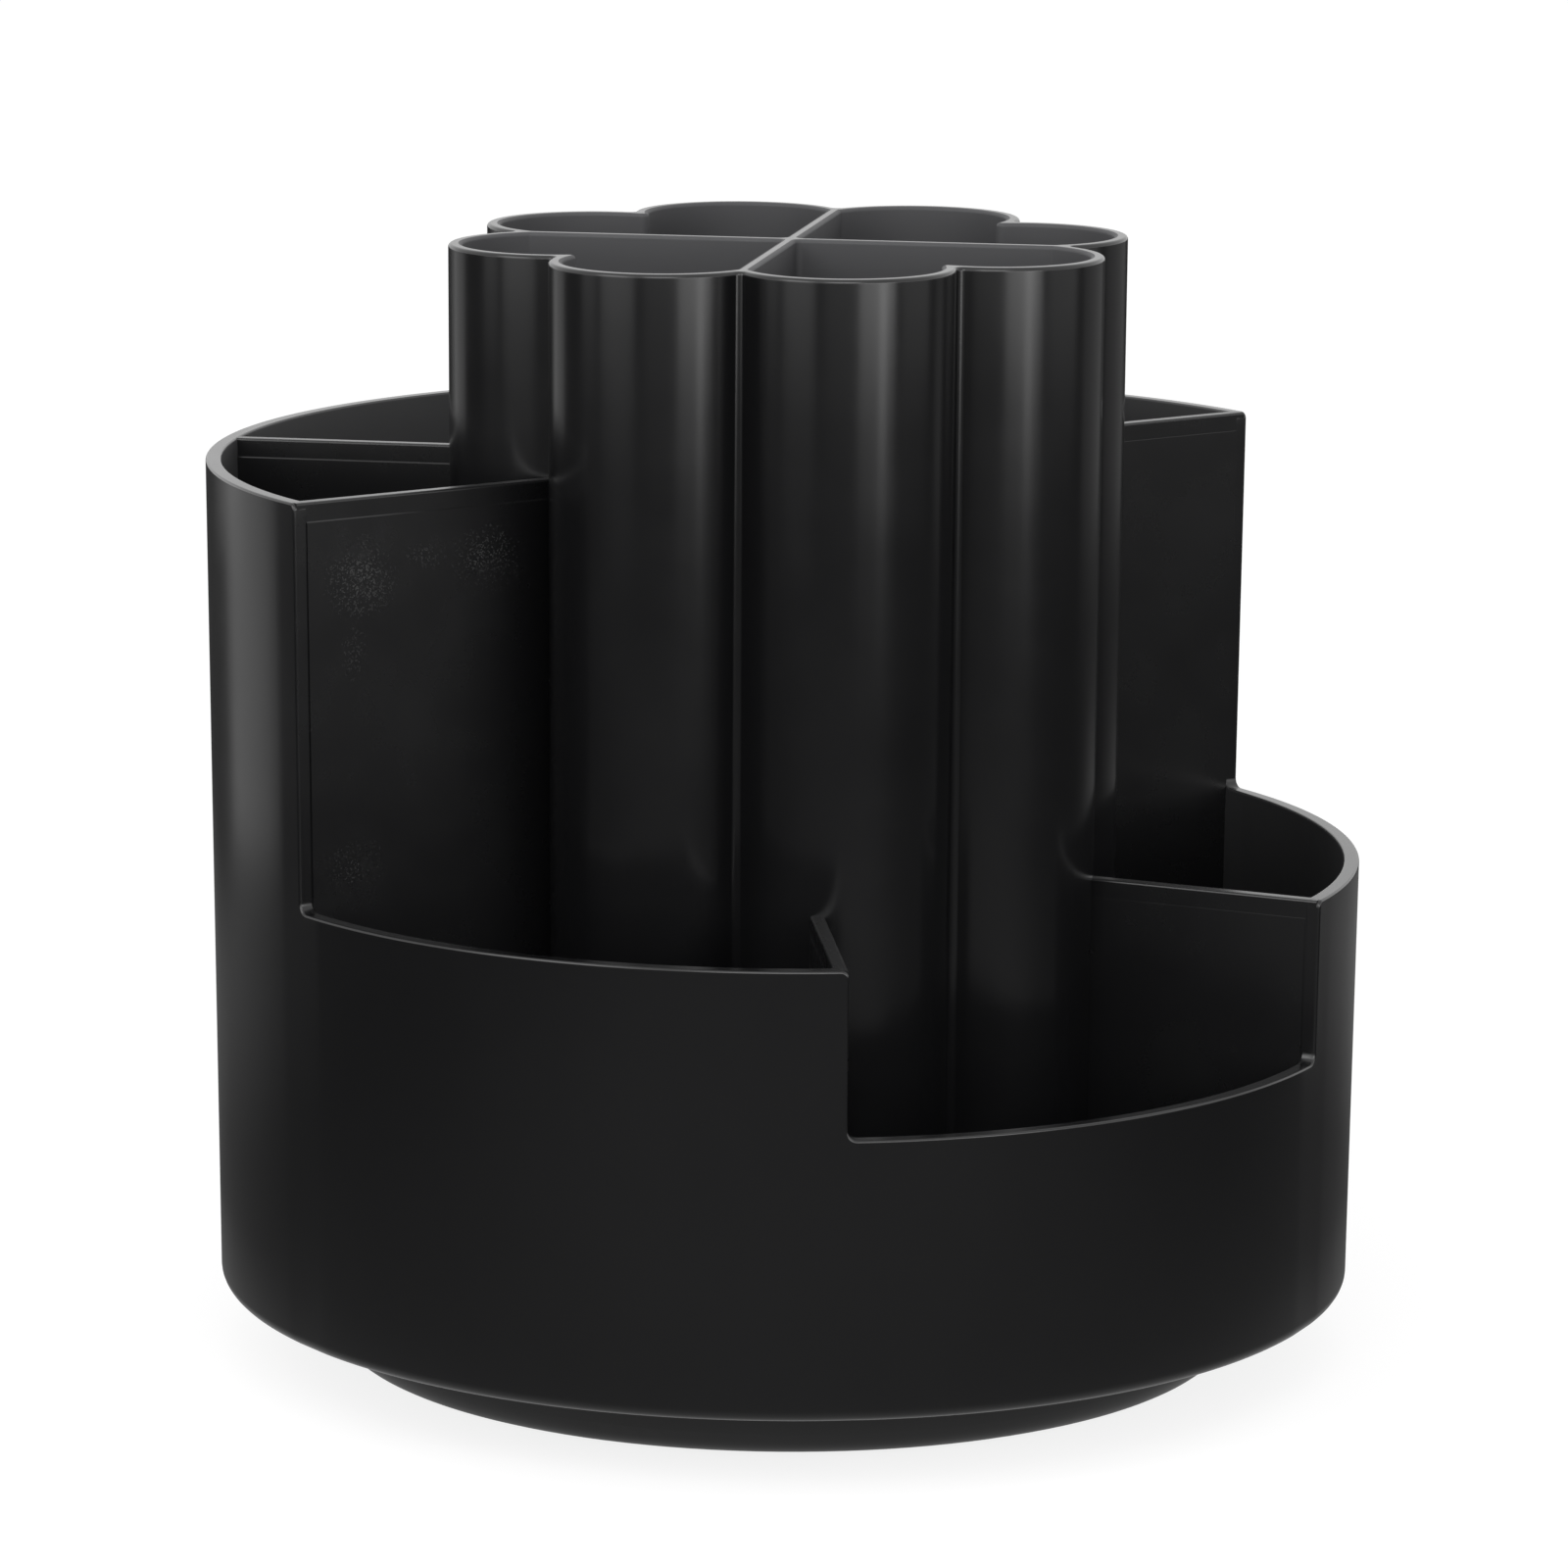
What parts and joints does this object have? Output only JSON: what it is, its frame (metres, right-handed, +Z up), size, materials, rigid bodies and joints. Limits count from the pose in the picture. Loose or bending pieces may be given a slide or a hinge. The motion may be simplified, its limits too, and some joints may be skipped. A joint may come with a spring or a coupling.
{
  "type": "rotating desk organizer",
  "caption": "Round black plastic desk organizer with a stepped compartment bin round a scalloped pen tube, turning on a ball bearing base.",
  "frame": {"origin": "on the desk under the turning axis", "axes": "+Z up along the turning axis, -Y towards the low front compartment"},
  "size_m": [0.15, 0.1492, 0.1455],
  "materials": {
    "bin_plastic": "satin gloss moulded polystyrene",
    "tube_plastic": "satin gloss moulded polystyrene",
    "turntable_plastic": "plain moulded",
    "base_plastic": "satin gloss moulded polystyrene",
    "screw_steel": "zinc plated",
    "washer_steel": "zinc plated",
    "ball_steel": "polished",
    "cage_nylon": "natural nylon",
    "foot_rubber": "matt"
  },
  "bodies": {
    "base": {"base_dish": "base_plastic", "pivot_plug": "base_plastic", "rubber_foot_rear_right": "foot_rubber", "rubber_foot_rear_left": "foot_rubber", "rubber_foot_front_left": "foot_rubber", "rubber_foot_front_right": "foot_rubber"},
    "ball_ring": {"ball_cage": "cage_nylon", "bearing_balls": "ball_steel"},
    "carousel": {"outer_bin": "bin_plastic", "pen_tube_cluster": "tube_plastic", "turntable_top_plate": "turntable_plastic", "tube_screws": "screw_steel", "pivot_screw": "screw_steel", "pivot_washer": "washer_steel"}
  },
  "joints": [
    {"name": "carousel_spin", "type": "hinge", "parent": "base", "child": "carousel", "pos_m": [0, 0, 0.0083], "axis": [0, 0, 1], "continuous": true},
    {"name": "ball_ring_orbit", "type": "hinge", "parent": "base", "child": "ball_ring", "pos_m": [0, 0, 0.00958], "axis": [0, 0, 1], "continuous": true}
  ],
  "couplings": [
    {"joint": "ball_ring_orbit", "follows": "carousel_spin", "ratio": 0.5}
  ]
}
